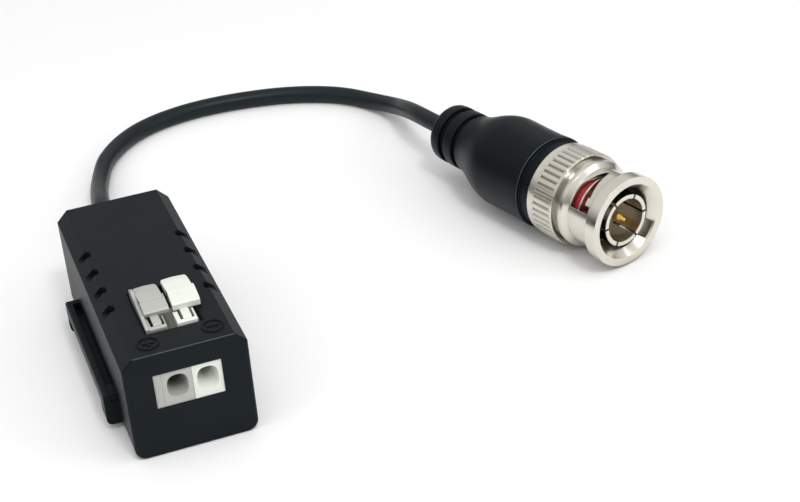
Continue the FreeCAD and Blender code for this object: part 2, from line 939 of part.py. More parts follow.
def cam_window(turn):
    """Bayonet cam: wide where the lug comes in, with a tooth, narrowing along its ramp."""
    entry, tooth, step, ramp, tail = cam_angles
    widest = (cam_entry_front, window_back)
    stepped = (cam_step_front, window_back)
    ramped = (cam_ramp_front, window_back)
    middle_ramp = (cam_ramp_front + gasket_step, window_back)
    narrow = (cam_tail_front, cam_ramp_back)
    pieces = [
        slot_wedge(entry, tooth, widest, widest),
        slot_wedge(tooth + cam_overlap, step, stepped, stepped),
        slot_wedge(step + cam_overlap, ramp, ramped, middle_ramp),
        slot_wedge(ramp + cam_overlap, tail, middle_ramp, narrow),
    ]
    shape = pieces[0].fuse(pieces[1:])
    shape.rotate(Vector(0, 0, 0), Vector(0, 0, 1), turn)
    return shape


def key_groove(turn):
    """Straight groove in the mouth that guides a lug to its cam."""
    half = key_groove_width / 2
    shape = Part.makeBox(key_groove_radius + 1, 2 * half, key_groove_depth + 1, Vector(0, -half, -key_groove_depth))
    shape = shape.common(rod(key_groove_radius, -1, key_groove_depth))
    shape.rotate(Vector(0, 0, 0), Vector(0, 0, 1), key_groove_angle + turn)
    return shape


def knurl_cuts():
    """Grooves of the straight knurl round the collar."""
    half = math.pi * knurl_radius / knurl_count * knurl_share
    far = knurl_radius + knurl_depth
    cuts = []
    for index in range(knurl_count):
        corners = [
            Vector(knurl_radius - knurl_depth, 0, -knurl_back), Vector(far, 2 * half, -knurl_back),
            Vector(far, -2 * half, -knurl_back)]
        groove = Part.Face(Part.makePolygon(corners + corners[:1])).extrude(
            Vector(0, 0, knurl_back - knurl_front))
        groove.rotate(Vector(0, 0, 0), Vector(0, 0, 1), 360.0 * index / knurl_count)
        cuts.append(groove)
    return cuts


def make_collar():
    hole = shank_radius + running_gap
    shape = turned([
        (lip_radius, 0), (rim_radius, 0), (rim_radius, rim_width), (neck_radius, rim_width),
        (neck_radius, neck_back), (bead_radius, bead_front), (bead_radius, bead_back),
        (groove_radius, bead_back), (groove_radius, groove_back), (knurl_radius, groove_back),
        (knurl_radius, collar_length), (counterbore_radius, collar_length),
        (counterbore_radius, rear_wall_back), (hole, rear_wall_back), (hole, rear_wall_front),
        (cavity_radius, rear_wall_front), (cavity_radius, cavity_front), (bore_radius, cavity_front),
        (bore_radius, lip_depth),
    ])
    cuts = [cam_window(0), cam_window(180), key_groove(0), key_groove(180)]
    return shape.cut(Part.makeCompound(cuts + knurl_cuts()))


def make_plug_body():
    """Turned body: slotted sleeve in front, flange, and the shank that the cable is crimped to."""
    shape = turned([
        (sleeve_bore, sleeve_front), (sleeve_radius, sleeve_front), (sleeve_radius, body_flange_front),
        (body_flange_radius, body_flange_front), (body_flange_radius, body_flange_back),
        (shank_radius, body_flange_back), (shank_radius, shank_back), (ferrule_radius - ferrule_wall, shank_back),
        (ferrule_radius - ferrule_wall, ferrule_back), (barrel_bore, ferrule_back),
        (barrel_bore, insulator_back), (sleeve_bore, insulator_back),
    ])
    groove = tube(
        shank_radius + 1, shank_radius - clip_thickness, rear_wall_back + running_gap,
        rear_wall_back + running_gap + clip_thickness)
    half = sleeve_slot_width / 2
    cuts = [groove]
    for index in range(sleeve_slots):
        slot = Part.makeBox(
            sleeve_radius + 1, 2 * half, sleeve_slot_depth, Vector(0, -half, -sleeve_front - sleeve_slot_depth))
        slot.rotate(Vector(0, 0, 0), Vector(0, 0, 1), sleeve_slot_turn + 360.0 * index / sleeve_slots)
        cuts.append(slot)
    shape = shape.cut(Part.makeCompound(cuts))
    return shape


def make_insulator():
    outer = sleeve_bore - seat_gap
    back = insulator_back - seat_gap
    step = insulator_front + pin_shoulder_depth
    return turned([
        (pin_radius + seat_gap, insulator_front), (outer, insulator_front), (outer, back),
        (pin_shoulder_radius + seat_gap, back), (pin_shoulder_radius + seat_gap, step),
        (pin_radius + seat_gap, step),
    ])


def make_centre_pin():
    shoulder = insulator_front + pin_shoulder_depth + seat_gap
    return turned([
        (0, pin_tip), (pin_tip_radius, pin_tip), (pin_radius, pin_tip + pin_point), (pin_radius, shoulder),
        (pin_shoulder_radius, shoulder), (pin_shoulder_radius, insulator_back), (0, insulator_back),
    ])


def make_cable_core():
    """Stripped cable end in the plug: core, dielectric and jacket."""
    front = insulator_back + seat_gap
    dielectric = barrel_bore - seat_gap
    jacket_front = ferrule_back + seat_gap
    return turned([
        (0, front), (inner_conductor_radius, front), (inner_conductor_radius, shank_back),
        (dielectric, shank_back), (dielectric, jacket_front), (cable_radius, jacket_front),
        (cable_radius, boot_back), (0, boot_back),
    ])


def make_wave_spring():
    """Waved spring washer between the body's flange and the slip washer."""
    low = body_flange_back + seat_gap
    high = rear_wall_front - washer_thickness - seat_gap
    inner = shank_radius + running_gap
    outer = body_flange_radius - running_gap
    swing = (high - low - wave_thickness) / 2
    sections = []
    for step in range(wave_steps):
        angle = 2 * math.pi * step / wave_steps
        place = low + swing * (1 + math.cos(wave_count * angle))
        corners = []
        for radius, lift in ((inner, 0), (outer, 0), (outer, wave_thickness), (inner, wave_thickness)):
            corners.append(Vector(radius * math.cos(angle), radius * math.sin(angle), -place - lift))
        sections.append(Part.makePolygon(corners + corners[:1]))
    return Part.makeLoft(sections + sections[:1], True, True)


def make_slip_washer():
    return tube(
        body_flange_radius - running_gap, shank_radius + running_gap, rear_wall_front - washer_thickness,
        rear_wall_front - seat_gap)


def make_retaining_clip():
    """Spring clip in the shank's groove that keeps the collar on."""
    front = rear_wall_back + running_gap + seat_gap
    shape = tube(
        clip_radius, shank_radius - clip_thickness + seat_gap, front, front + clip_thickness - 2 * seat_gap)
    half = clip_opening / 2
    opening = box(0, clip_radius + wall, -half, half, -front - clip_radius, -front + clip_radius)
    return shape.cut(opening)


def make_gasket():
    """Silicone ring round the sleeve, with a step in front for the bright ring."""
    outer = cavity_radius - gasket_clearance
    inner = sleeve_radius + seat_gap
    step = outer - gasket_step
    back = body_flange_front - seat_gap
    return turned([
        (inner, gasket_front), (step - seat_gap, gasket_front), (step - seat_gap, gasket_ring_back + seat_gap),
        (outer, gasket_ring_back + seat_gap), (outer, back), (inner, back),
    ])


def make_gasket_ring():
    outer = cavity_radius - gasket_clearance
    return tube(outer, outer - gasket_step, gasket_front, gasket_ring_back)


def make_ferrule():
    return tube(
        ferrule_radius, ferrule_radius - ferrule_wall + seat_gap, shank_back + running_gap, ferrule_back)


def make_boot():
    """Moulded boot: stepped neck, barrel, sloping shoulder and ringed tail."""
    cable = cable_radius + boot_fit
    ferrule = ferrule_radius + boot_fit
    shank = shank_radius + boot_fit
    shape = turned([
        (shank, boot_step_front), (boot_step_radius, boot_step_front), (boot_step_radius, boot_barrel_front),
        (boot_radius, boot_barrel_front), (boot_radius, boot_barrel_back), (boot_tail_radius, boot_tail_front),
        (boot_tail_radius, boot_end_front), (boot_end_radius, boot_back), (cable, boot_back),
        (cable, ferrule_back + boot_fit), (ferrule, ferrule_back + boot_fit), (ferrule, shank_back + boot_fit),
        (shank, shank_back + boot_fit),
    ])
    rings = [
        tube(boot_tail_radius + wall, boot_tail_radius - boot_ring_depth, place, place + boot_ring_width)
        for place in boot_ring_places]
    return shape.cut(Part.makeCompound(rings))


def main():
    os.makedirs("parts", exist_ok=True)
    write("housing_cover", make_cover())
    write("housing_base", make_base())
    write("terminal_body_grey", make_terminal_body(grey_x, grey_flange_left, grey_flange_right))
    write("terminal_body_white", make_terminal_body(white_x, white_flange_left, white_flange_right))
    write("terminal_end_plate", make_end_plate())
    write("lever_grey", make_lever(grey_x, grey_lever_left, grey_lever_right, grey_lever_drop))
    write("lever_white", make_lever(white_x, white_lever_left, white_lever_right, 0))
    for name, x in (("grey", grey_x), ("white", white_x)):
        write("clamp_spring_" + name, make_clamp_spring(x))
        write("contact_" + name, make_contact(x))
    write("circuit_board", make_board())
    write("toroid_core", make_core())
    write("winding_pair_side", make_winding(0))
    write("winding_cable_side", make_winding(1))
    write("surge_arrester", make_arrester())
    write("disc_capacitor", make_capacitor())
    write("chip_resistors", make_resistors())
    write("cable_grommet", make_grommet())
    write("cable_tail", make_cable_tail())
    write("video_cable", make_cable())
    plug_pieces = {
        "plug_boot": make_boot, "plug_body": make_plug_body, "plug_insulator": make_insulator,
        "centre_pin": make_centre_pin, "cable_core": make_cable_core, "crimp_ferrule": make_ferrule,
        "plug_gasket": make_gasket, "gasket_ring": make_gasket_ring, "slip_washer": make_slip_washer,
        "wave_spring": make_wave_spring, "retaining_clip": make_retaining_clip,
        "coupling_collar": make_collar,
    }
    for name, make in plug_pieces.items():
        write(name, seat_on_plug(make()))


main()
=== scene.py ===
import json
import math

import bmesh
import bpy
from mathutils import Matrix, Vector


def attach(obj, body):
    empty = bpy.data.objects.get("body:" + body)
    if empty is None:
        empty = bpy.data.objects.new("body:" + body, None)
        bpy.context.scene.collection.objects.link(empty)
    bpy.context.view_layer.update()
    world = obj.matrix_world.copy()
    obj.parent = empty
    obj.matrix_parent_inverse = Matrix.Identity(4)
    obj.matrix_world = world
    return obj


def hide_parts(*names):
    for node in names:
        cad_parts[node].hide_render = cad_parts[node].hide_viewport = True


# A video balun on a pale floor: a black box with two lever clamps, a short lead and a
# bayonet plug. Lengths are in millimetres until they are handed to Blender, in metres.

MM = 0.001

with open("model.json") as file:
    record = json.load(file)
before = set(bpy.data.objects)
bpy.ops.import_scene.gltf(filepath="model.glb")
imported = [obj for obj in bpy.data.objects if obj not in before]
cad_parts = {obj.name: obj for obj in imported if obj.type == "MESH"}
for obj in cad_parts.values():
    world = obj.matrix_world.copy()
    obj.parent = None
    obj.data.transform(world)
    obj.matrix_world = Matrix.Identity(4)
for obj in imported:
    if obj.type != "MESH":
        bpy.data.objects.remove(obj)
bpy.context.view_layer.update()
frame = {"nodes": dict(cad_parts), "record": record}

# Camera, solved from the box's edges and the plug's mouth
camera_place = (-30.87, -208.05, 139.83)
camera_azimuth = -18.2
camera_elevation = 30.99
camera_roll = -4.6
focal_length_pixels = 1732
picture_width_pixels = 800
sensor_width = 36.0
clip_near = 10.0
clip_far = 10000.0

# Lead
lead_diameter = 3.0
lead_steps = 12
lead_round_steps = 8
lead_floor = lead_diameter / 2
exit_height = 7.4
plug_height = 7.6
lead_route = [
    (0.0, 24.95, exit_height),
    (0.0, 34.2, exit_height),
    (1.3, 45.2, 4.5),
    (3.2, 55.0, 2.1),
    (6.1, 64.1, lead_floor),
    (13.2, 71.7, lead_floor),
    (22.8, 74.9, lead_floor),
    (32.8, 74.8, lead_floor),
    (42.8, 72.5, lead_floor),
    (50.8, 68.0, lead_floor),
    (55.3, 62.2, lead_floor),
    (57.5, 55.3, 3.0),
    (57.0, 46.9, 6.0),
    (57.1, 40.0, plug_height),
    (59.13, 33.39, plug_height),
]

# Steps of turned pieces, small circles and rounded corners. Facets up to the facet angle
# look smooth, and edges over the sharp angle can be rounded.
turned_steps = 96
small_circle_steps = 32
corner_steps = 6
facet_angle = 28.0
sharp_angle = 40.0

# Plug: its mouth's place on the floor plan and the turn of its axis
plug_mouth = (71.66, -6.7)
plug_yaw = 17.35

# Boot's outline: distance behind the plug's mouth, radius, rounding of the corner
boot_neck = [
    (16.25, 4.45, 0.0), (14.8, 4.45, 0.0), (14.8, 7.0, 0.35), (17.0, 7.0, 0.2), (17.0, 7.58, 0.45),
]
boot_shoulder = [
    (19.5, 7.43, 0.0), (22.0, 7.42, 0.0), (26.4, 7.5, 0.0), (27.1, 7.48, 0.0), (27.8, 7.4, 0.0),
    (28.5, 7.26, 0.0), (29.2, 7.06, 0.0), (29.9, 6.81, 0.0), (30.6, 6.53, 0.0), (31.3, 6.22, 0.0),
    (32.0, 5.91, 0.0), (32.7, 5.6, 0.0), (33.4, 5.33, 0.0), (34.1, 5.1, 0.0), (34.7, 4.96, 0.0),
]
boot_tail = [
    (35.25, 4.93, 0.15), (35.25, 4.2, 0.1), (36.35, 4.2, 0.1), (36.35, 4.9, 0.25), (38.45, 4.9, 0.25),
    (38.45, 4.2, 0.1), (39.6, 4.2, 0.1), (39.6, 4.9, 0.25), (42.1, 4.85, 1.2), (42.1, 1.55, 0.0),
]
boot_bore = [(25.05, 1.55, 0.0), (25.05, 2.75, 0.0), (16.25, 2.75, 0.0)]

# Ribs of the collar's knurl, in step with its grooves
rib_count = 44
rib_front = 9.2
rib_back = 13.55
rib_root = 7.4
rib_top = 7.53
rib_half_width = 0.34
rib_slope = 0.07
rib_end_slope = 0.12

# Box: its front face across the floor plan, and the top of its cover
box_front = -21.75
cover_top = 16.0

# Edge beads, glossier and painted lighter as a highlight: distance behind the front and height,
# distance behind the mouth and radius
cover_edge = (0.14, 15.86)
cover_edge_reach = 6.85
boot_edge = (17.13, 7.48)
bead_radius = 0.07
bead_steps = 8

# Stop that closes the rail's channel: places behind the front, heights and sides
stop_front = 8.6
stop_back = 11.3
stop_bottom = 4.4
stop_top = 5.7
stop_sides = (-9.85, -7.9)
stop_rounding = 0.3
stop_segments = 4

# Levers' pads: places behind the front, heights on the grey one, and roundings
pad_front = 8.15
pad_back = 15.3
crease_place = 10.45
pad_overlap = 1.0
pad_bottom = 16.5
nose_top = 17.22
crease_front_top = 17.47
crease_back_top = 17.74
pad_back_top = 17.08
pad_corner = 0.4
pad_corner_segments = 5
pad_edge = 0.22
pad_edge_segments = 3
pad_side_step = 0.2
pad_tolerance = 0.01

# Levers' stems and pivots: places behind the front, heights and widths
stem_width = 1.15
stem_front = 5.84
stem_top = 16.6
stem_foot_back = 10.55
foot_bottom = 11.8
pivot_place = 6.6
pivot_height = 14.1
pivot_radius = 0.6
pivot_length = 2.2

# What tells the two levers apart: sides, middle of the stem, height over the grey one, and
# how far the front pad is raised towards the back one at the crease
grey_sides = (-3.2, 0.27)
grey_stem = -1.95
grey_lift = 0.0
grey_crease = 0.1
white_sides = (0.72, 4.55)
white_stem = 2.15
white_lift = 0.3
white_crease = 0.2

# Moulding dot on each lever: distance from its left side and behind the front, and its
# levels as (share of the radius, height over the slope)
dot_place = (1.45, 9.55)
dot_radius = 0.27
dot_profile = [(1.0, -0.02), (0.8, 0.02), (0.5, 0.045), (0.2, 0.055)]

# Raised signs on the cover: middle across and behind the front
plus_place = (-4.1, 2.75)
minus_place = (4.72, 3.05)
sign_radius = 1.58
sign_stroke = 0.4
sign_length = 1.65
sign_height = 0.18
sign_root = 0.05
sign_slope = 0.09
sign_steps = 48

# Surfaces: where drift and grain start and stop to count, and how far roughness varies with
# the grain. Sizes of grain and drift are the scales of their noise.
plastic_drift = (0.35, 0.65)
metal_drift = (0.3, 0.7)
drift_size = 160.0
grain_range = (0.3, 0.7)
plastic_polish = (-0.06, 0.06)
metal_polish = (-0.03, 0.04)
metal_grain_size = 900.0
metal_grain_depth = 0.0002
metal_edge_radius = 0.12
surface_samples = 6

# Painted shade in crevices: how near another surface counts, how dark metal is painted there, and
# the openness from which and up to which the painted shade fades
plastic_painted_shade_reach = 2.5
metal_painted_shade_reach = 1.8
metal_painted_shade_depth = 0.62
painted_shade_openness = (0.2, 0.9)

# Studio: floor, sky from the horizon up, and soft lights with place, target, size and watts
floor_half_width = 1500.0
floor_shades = (0.86, 0.88)
floor_cloud_scale = 6.0
floor_roughness = 0.7
sky_shades = (0.1, 0.8)
sky_heights = (0.02, 0.45)
set_middle = (35.0, 20.0, 5.0)
box_middle = (0.0, -20.0, 10.0)
soft_lights = {
    "overhead": ((20.0, -150.0, 600.0), set_middle, 500.0, 0.9),
    "key": ((60.0, -345.0, 520.0), box_middle, 110.0, 1.0),
    "left": ((-420.0, -120.0, 330.0), set_middle, 300.0, 0.28),
    "right": ((420.0, -260.0, 260.0), set_middle, 260.0, 0.4),
}


def metres(point):
    """A point in Blender's metres from one in millimetres."""
    return Vector(point) * MM


# Shader building

def add_node(tree, kind, values=None, **settings):
    """Adds a node. Values are numbers, colours or sockets to link, by the input's name."""
    made = tree.nodes.new(kind)
    for name, value in settings.items():
        setattr(made, name, value)
    for name, value in (values or {}).items():
        if isinstance(value, bpy.types.NodeSocket):
            tree.links.new(value, made.inputs[name])
        else:
            made.inputs[name].default_value = value
    return made


def new_group(name, inputs, outputs):
    """Empty node group with named sockets: (name, type, default) and (name, type)."""
    group = bpy.data.node_groups.new(name, "ShaderNodeTree")
    for socket_name, kind, value in inputs:
        socket = group.interface.new_socket(socket_name, in_out="INPUT", socket_type=kind)
        socket.default_value = value
    for socket_name, kind in outputs:
        group.interface.new_socket(socket_name, in_out="OUTPUT", socket_type=kind)
    given = group.nodes.new("NodeGroupInput").outputs
    return group, given, group.nodes.new("NodeGroupOutput").inputs


def moulded_surface_group():
    """Skin of a moulded part: softened edges, fine mould texture and faint colour drift."""
    group, given, out = new_group(
        "Moulded surface",
        [("Edge radius", "NodeSocketFloat", 0.15 * MM), ("Grain size", "NodeSocketFloat", 3000.0),
         ("Grain depth", "NodeSocketFloat", 0.01 * MM)],
        [("Normal", "NodeSocketVector"), ("Grain", "NodeSocketFloat"), ("Drift", "NodeSocketFloat")])
    place = add_node(group, "ShaderNodeTexCoord").outputs["Object"]
    edge = add_node(
        group, "ShaderNodeBevel", {"Radius": given["Edge radius"]}, samples=surface_samples)
    grain = add_node(group, "ShaderNodeTexNoise", {
        "Vector": place, "Scale": given["Grain size"], "Detail": 3.0, "Roughness": 0.6})
    drift = add_node(group, "ShaderNodeTexNoise", {
        "Vector": place, "Scale": drift_size, "Detail": 2.0, "Roughness": 0.5})
    bump = add_node(group, "ShaderNodeBump", {
        "Strength": 1.0, "Distance": given["Grain depth"], "Height": grain.outputs["Fac"],
        "Normal": edge.outputs["Normal"]})
    group.links.new(bump.outputs["Normal"], out["Normal"])
    group.links.new(grain.outputs["Fac"], out["Grain"])
    group.links.new(drift.outputs["Fac"], out["Drift"])
    return group


def use_group(tree, group, values):
    """Places a node group with its own values and gives its outputs."""
    made = tree.nodes.new("ShaderNodeGroup")
    made.node_tree = group
    for name, value in values.items():
        made.inputs[name].default_value = value
    return made.outputs


def ramp(tree, factor, colours, span):
    """Colour that goes from one to another as the factor goes between two values."""
    made = add_node(tree, "ShaderNodeValToRGB", {"Fac": factor})
    for stop, colour, position in zip(made.color_ramp.elements, colours, span):
        stop.position = position
        stop.color = (*colour, 1.0)
    return made.outputs["Color"]


def between(tree, factor, low, high, span):
    """Number that goes from low to high as the factor goes between two values."""
    made = add_node(tree, "ShaderNodeMapRange", {
        "Value": factor, "From Min": span[0], "From Max": span[1], "To Min": low, "To Max": high})
    return made.outputs["Result"]


def darken_as_painted_shade(tree, colour, reach, depth):
    """The colour with painted shade: darkened where other surfaces stand close by."""
    near_by = add_node(
        tree, "ShaderNodeAmbientOcclusion", {"Distance": reach * MM}, samples=surface_samples)
    share = between(tree, near_by.outputs["AO"], 1.0 - depth, 1.0, painted_shade_openness)
    darkened = add_node(
        tree, "ShaderNodeVectorMath", {"Vector": colour, "Scale": share}, operation="SCALE")
    return darkened.outputs["Vector"]


def new_material(name):
    """New material, with its node tree and the inputs of its shader."""
    made = bpy.data.materials.new(name)
    made.use_nodes = True
    tree = made.node_tree
    return made, tree, tree.nodes["Principled BSDF"].inputs


moulded_surface = moulded_surface_group()


def add_skin(tree, shader, grain_size, grain_depth, edge_radius, roughness, polish):
    """Gives a material's shader the moulded skin's normal and uneven polish."""
    skin = use_group(tree, moulded_surface, {
        "Edge radius": edge_radius * MM, "Grain size": grain_size, "Grain depth": grain_depth * MM})
    rough = between(
        tree, skin["Grain"], roughness + polish[0], roughness + polish[1], grain_range)
    tree.links.new(rough, shader["Roughness"])
    tree.links.new(skin["Normal"], shader["Normal"])
    return skin


def moulded(
        name, colours, roughness, grain_size, grain_depth, edge_radius, gloss=0.5, painted_shade_depth=0.0,
        gloss_tint=(1.0, 1.0, 1.0)):
    """Injection-moulded plastic or rubber with its own grain and two close shades."""
    made, tree, shader = new_material(name)
    skin = add_skin(tree, shader, grain_size, grain_depth, edge_radius, roughness, plastic_polish)
    shade = ramp(tree, skin["Drift"], colours, plastic_drift)
    # Painted shade: the colour is darkened in crevices, where other surfaces stand close by
    if painted_shade_depth:
        shade = darken_as_painted_shade(tree, shade, plastic_painted_shade_reach, painted_shade_depth)
    tree.links.new(shade, shader["Base Color"])
    shader["Specular IOR Level"].default_value = gloss
    shader["Specular Tint"].default_value = (*gloss_tint, 1.0)
    return made


def metal(name, colours, roughness):
    """Plated or drawn metal with fine uneven polish and painted shade in its crevices."""
    made, tree, shader = new_material(name)
    skin = add_skin(
        tree, shader, metal_grain_size, metal_grain_depth, metal_edge_radius, roughness, metal_polish)
    shade = ramp(tree, skin["Drift"], colours, metal_drift)
    # Painted shade: the colour is darkened in crevices, where other surfaces stand close by
    shade = darken_as_painted_shade(tree, shade, metal_painted_shade_reach, metal_painted_shade_depth)
    tree.links.new(shade, shader["Base Color"])
    shader["Metallic"].default_value = 1.0
    return made


# Finishes, each with two close shades. Grain depth and edge radius are in millimetres.

def black_finishes():
    """Blacks, whose gloss is a little blue."""
    cool_gloss = (0.8, 0.95, 1.0)
    return {
        "housing_black": moulded(
            "Satin black housing", ((0.0042, 0.0062, 0.0076), (0.0052, 0.0076, 0.0092)),
            roughness=0.45, grain_size=7000.0, grain_depth=0.006, edge_radius=0.2, gloss=0.14,
            gloss_tint=cool_gloss),
        "cable_black": moulded(
            "Black lead jacket", ((0.008, 0.0105, 0.012), (0.0095, 0.0125, 0.014)),
            roughness=0.4, grain_size=2200.0, grain_depth=0.003, edge_radius=0.05, gloss=0.2,
            gloss_tint=cool_gloss),
        "boot_black": moulded(
            "Black boot", ((0.0016, 0.003, 0.0042), (0.0022, 0.0038, 0.0052)),
            roughness=0.38, grain_size=5000.0, grain_depth=0.006, edge_radius=0.2, gloss=0.15,
            gloss_tint=cool_gloss),
        # Lighter and glossier than the housing: the lighter colour is a painted highlight on the edge
        # beads
        "painted_highlight_black": moulded(
            "Black edge with painted highlight", ((0.03, 0.034, 0.037), (0.045, 0.05, 0.054)),
            roughness=0.3, grain_size=9000.0, grain_depth=0.002, edge_radius=0.05, gloss=0.7,
            gloss_tint=cool_gloss),
    }


def clamp_and_seal_finishes():
    """Plastics of the clamps and the plug's insulator, and the plug's silicone ring. The clamps and
    the ring get painted shade in their crevices.
    """
    return {
        "grey_plastic": moulded(
            "Warm grey clamp plastic", ((0.40, 0.41, 0.375), (0.43, 0.44, 0.405)),
            roughness=0.42, grain_size=2500.0, grain_depth=0.002, edge_radius=0.12, painted_shade_depth=0.6),
        "white_plastic": moulded(
            "Ivory clamp plastic", ((0.7, 0.735, 0.66), (0.74, 0.77, 0.7)),
            roughness=0.4, grain_size=2500.0, grain_depth=0.002, edge_radius=0.12, painted_shade_depth=0.2),
        "gasket_red": moulded(
            "Red silicone", ((0.3, 0.008, 0.012), (0.34, 0.012, 0.016)),
            roughness=0.3, grain_size=3000.0, grain_depth=0.003, edge_radius=0.1, painted_shade_depth=0.85),
        "insulator_white": moulded(
            "Insulator", ((0.5, 0.42, 0.32), (0.56, 0.47, 0.37)),
            roughness=0.5, grain_size=3000.0, grain_depth=0.003, edge_radius=0.1),
    }


def inside_finishes():
    """Board and components, which the closed housing hides."""
    return {
        "board": moulded(
            "Board", ((0.02, 0.14, 0.05), (0.025, 0.17, 0.06)),
            roughness=0.4, grain_size=3000.0, grain_depth=0.003, edge_radius=0.05),
        "ferrite": moulded(
            "Ferrite", ((0.03, 0.03, 0.03), (0.04, 0.04, 0.04)),
            roughness=0.6, grain_size=4000.0, grain_depth=0.01, edge_radius=0.1),
        "ceramic": moulded(
            "Glazed ceramic", ((0.7, 0.7, 0.68), (0.74, 0.74, 0.72)),
            roughness=0.25, grain_size=3000.0, grain_depth=0.002, edge_radius=0.1),
        "capacitor_blue": moulded(
            "Dipped capacitor", ((0.04, 0.1, 0.32), (0.05, 0.12, 0.36)),
            roughness=0.3, grain_size=2500.0, grain_depth=0.004, edge_radius=0.1),
    }


def metal_finishes():
    """Platings of the plug, and the metals inside the box."""
    return {
        "nickel": metal("Nickel plate", ((0.68, 0.65, 0.575), (0.74, 0.71, 0.635)), 0.2),
        "gilt": metal("Gold plate", ((0.95, 0.66, 0.2), (1.0, 0.74, 0.26)), 0.25),
        "spring_steel": metal("Spring steel", ((0.52, 0.52, 0.53), (0.6, 0.6, 0.61)), 0.3),
        "tinned_metal": metal("Tinned contact", ((0.62, 0.62, 0.6), (0.7, 0.7, 0.68)), 0.32),
        "copper_wire": metal("Enamelled wire", ((0.55, 0.22, 0.08), (0.62, 0.27, 0.1)), 0.3),
    }


materials = {
    **black_finishes(), **clamp_and_seal_finishes(), **inside_finishes(), **metal_finishes()}


# Mesh building

def smooth_curves(mesh):
    """Smooth shading that stops at edges sharper than the facets of a turned piece."""
    mesh.shade_smooth()
    mesh.set_sharp_from_angle(angle=math.radians(facet_angle))


def add_piece(name, made, slot, body, finish=None):
    """Piece from finished faces, in the finish of its slot or another, moving with its body."""
    bmesh.ops.recalc_face_normals(made, faces=made.faces)
    mesh = bpy.data.meshes.new(name)
    made.to_mesh(mesh)
    made.free()
    mesh.materials.append(materials[finish or slot])
    smooth_curves(mesh)
    piece = bpy.data.objects.new(name, mesh)
    bpy.context.scene.collection.objects.link(piece)
    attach(piece, body)
    return piece


def circle(radius, steps):
    """Points round a circle about the origin."""
    turns = [2 * math.pi * step / steps for step in range(steps)]
    return [(radius * math.cos(turn), radius * math.sin(turn)) for turn in turns]


def join_loops(made, loop, following):
    """Band of faces between two loops of the same number of corners."""
    for step in range(len(loop)):
        beside = (step + 1) % len(loop)
        made.faces.new((loop[step], loop[beside], following[beside], following[step]))


def add_ring(made, loops):
    """Closed surface through loops of points, from the last loop back to the first."""
    rings = [[made.verts.new(point) for point in loop] for loop in loops]
    for ring, following in zip(rings, rings[1:] + rings[:1]):
        join_loops(made, ring, following)


def add_stack(made, loops):
    """Closed surface through loops of points, with its first and last loops filled in."""
    rings = [[made.verts.new(point) for point in loop] for loop in loops]
    for ring, following in zip(rings, rings[1:]):
        join_loops(made, ring, following)
    made.faces.new(rings[-1])
    made.faces.new(list(reversed(rings[0])))


def add_prism(made, outline, sides):
    """Closed bar between two sides, from an outline of (distance behind the front, height)."""
    left, right = (
        [made.verts.new(metres((x, box_front + y, z))) for y, z in outline] for x in sides)
    faces = [made.faces.new(left), made.faces.new(list(reversed(right)))]
    for step in range(len(outline)):
        beside = (step + 1) % len(outline)
        faces.append(made.faces.new((left[step], right[step], right[beside], left[beside])))
    return faces


def round_edges(made, faces, size, segments, chosen=None):
    """Rounds the edges of some faces, all or the chosen ones, and gives the new faces."""
    edges = dict.fromkeys(edge for face in faces if face.is_valid for edge in face.edges)
    picked = [edge for edge in edges if chosen is None or chosen(edge)]
    return bmesh.ops.bevel(
        made, geom=picked, offset=size * MM, segments=segments, profile=0.5,
        affect="EDGES")["faces"]


def plug_point(radius, place, angle):
    """Point on the plug, from its radius, its distance behind the mouth and its angle."""
    yaw = math.radians(plug_yaw)
    side = radius * math.cos(angle)
    x = plug_mouth[0] + side * math.cos(yaw) - place * math.sin(yaw)
    y = plug_mouth[1] + side * math.sin(yaw) + place * math.cos(yaw)
    return metres((x, y, plug_height + radius * math.sin(angle)))


def turned(outline):
    """Closed surface turned about the plug's axis from a closed outline of (place, radius)."""
    made = bmesh.new()
    angles = [2 * math.pi * step / turned_steps for step in range(turned_steps)]
    add_ring(made, [
        [plug_point(radius, place, angle) for angle in angles] for place, radius in outline])
    return made


def softened(corners):
    """Outline with each corner rounded off, from (place, radius, rounding) corners."""
    points = []
    for index, (place, radius, rounding) in enumerate(corners):
        here = Vector((place, radius))
        if rounding == 0:
            points.append(here)
            continue
        before = Vector(corners[index - 1][:2])
        after = Vector(corners[(index + 1) % len(corners)][:2])
        first = here + (before - here).normalized() * rounding
        last = here + (after - here).normalized() * rounding
        for step in range(corner_steps + 1):
            share = step / corner_steps
            points.append(first.lerp(here, share).lerp(here.lerp(last, share), share))
    return points


# Solids carried over from the frame

def dress_nodes():
    """Gives every carried-over solid the finish of its slot, and smooth shading on its curves."""
    for part in frame["record"]["subparts"]:
        node = frame["nodes"][part["node"]]
        node.data.materials.clear()
        node.data.materials.append(materials[part["material_slot"]])
        smooth_curves(node.data)


# Lead and plug

def lead():
    """The free lead as one smooth curve from the grommet to the boot."""
    curve = bpy.data.curves.new("lead", "CURVE")
    curve.dimensions = "3D"
    spline = curve.splines.new("NURBS")
    spline.points.add(len(lead_route) - 1)
    for point, place in zip(spline.points, lead_route):
        point.co = (*metres(place), 1.0)
    spline.order_u = 3
    spline.use_endpoint_u = True
    spline.resolution_u = lead_steps
    curve.bevel_depth = lead_diameter / 2 * MM
    curve.bevel_resolution = lead_round_steps
    curve.use_fill_caps = True
    curve.materials.append(materials["cable_black"])
    piece = bpy.data.objects.new("lead", curve)
    bpy.context.scene.collection.objects.link(piece)
    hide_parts("video_cable")
    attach(piece, "root")


def boot():
    """Moulded boot with a rolled front rim, a flowing shoulder and a ringed tail."""
    outline = softened(boot_neck + boot_shoulder + boot_tail + boot_bore)
    piece = add_piece("boot", turned(outline), "boot_black", "root")
    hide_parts("plug_boot")


